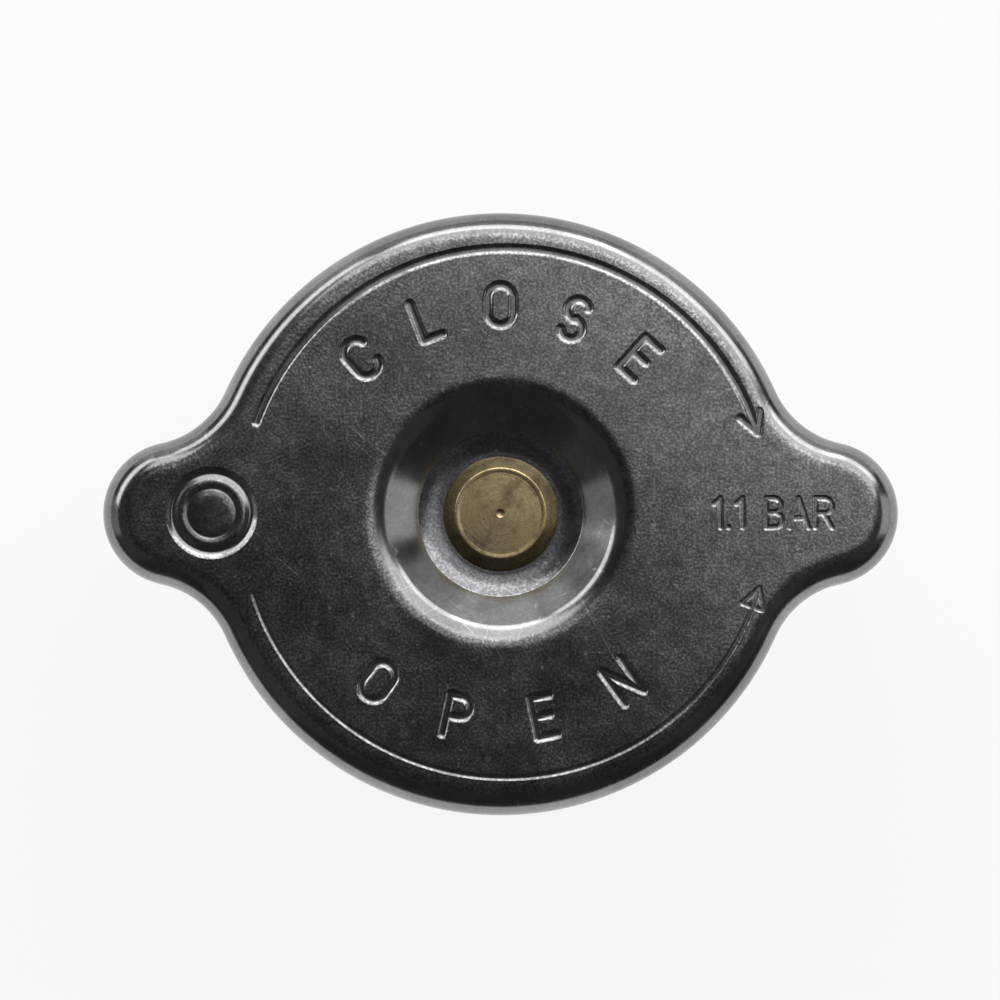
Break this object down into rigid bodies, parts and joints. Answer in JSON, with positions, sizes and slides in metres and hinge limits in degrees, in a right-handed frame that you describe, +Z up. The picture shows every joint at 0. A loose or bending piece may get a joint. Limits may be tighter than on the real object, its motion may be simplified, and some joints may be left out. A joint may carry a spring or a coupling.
{
  "type": "radiator cap",
  "caption": "Eared pressed-steel radiator cap with a dished top, a brass pivot rivet, locking tangs inside its skirt, a sprung pressure valve with a rubber gasket and a small vacuum valve.",
  "frame": {"origin": "centre of the underside of the valve gasket, where the cap stands upright by itself", "axes": "+Z up along the rivet, from the gasket to the flat top; +X along the two ears, with the blank medallion on the -X ear; the locking tangs lie on +Y and -Y"},
  "size_m": [0.0818, 0.062, 0.0291],
  "materials": {
    "plated_steel": "worn dark plating, half bright",
    "brass": "turned, tarnished",
    "spring_steel": "bright rolled",
    "tinned_steel": "tinned, satin",
    "rubber": "matte"
  },
  "bodies": {
    "shell": {"cap_shell": "plated_steel"},
    "bell": {"centre_rivet": "brass", "rivet_washer": "tinned_steel", "diaphragm_spring": "spring_steel", "upper_seal": "rubber", "spring_bell": "tinned_steel", "pressure_spring": "spring_steel"},
    "pressure_valve": {"spring_cup": "tinned_steel", "gasket_pan": "tinned_steel", "valve_gasket": "rubber", "port_eyelet": "brass", "vacuum_spring": "spring_steel"},
    "vacuum_valve": {"vacuum_poppet": "brass", "vacuum_keeper": "tinned_steel"}
  },
  "joints": [
    {"name": "bell_swivel", "type": "hinge", "parent": "shell", "child": "bell", "pos_m": [0, 0, 0.02505], "axis": [0, 0, 1], "continuous": true},
    {"name": "pressure_valve_lift", "type": "slide", "parent": "bell", "child": "pressure_valve", "axis": [0, 0, 1], "range_m": [0, 0.004], "stiffness_N_per_m": 9000, "springref_m": -0.008, "deforming": ["pressure_spring"]},
    {"name": "vacuum_valve_open", "type": "slide", "parent": "pressure_valve", "child": "vacuum_valve", "axis": [0, 0, -1], "range_m": [0, 0.0018], "stiffness_N_per_m": 150, "springref_m": -0.004, "deforming": ["vacuum_spring"]}
  ]
}
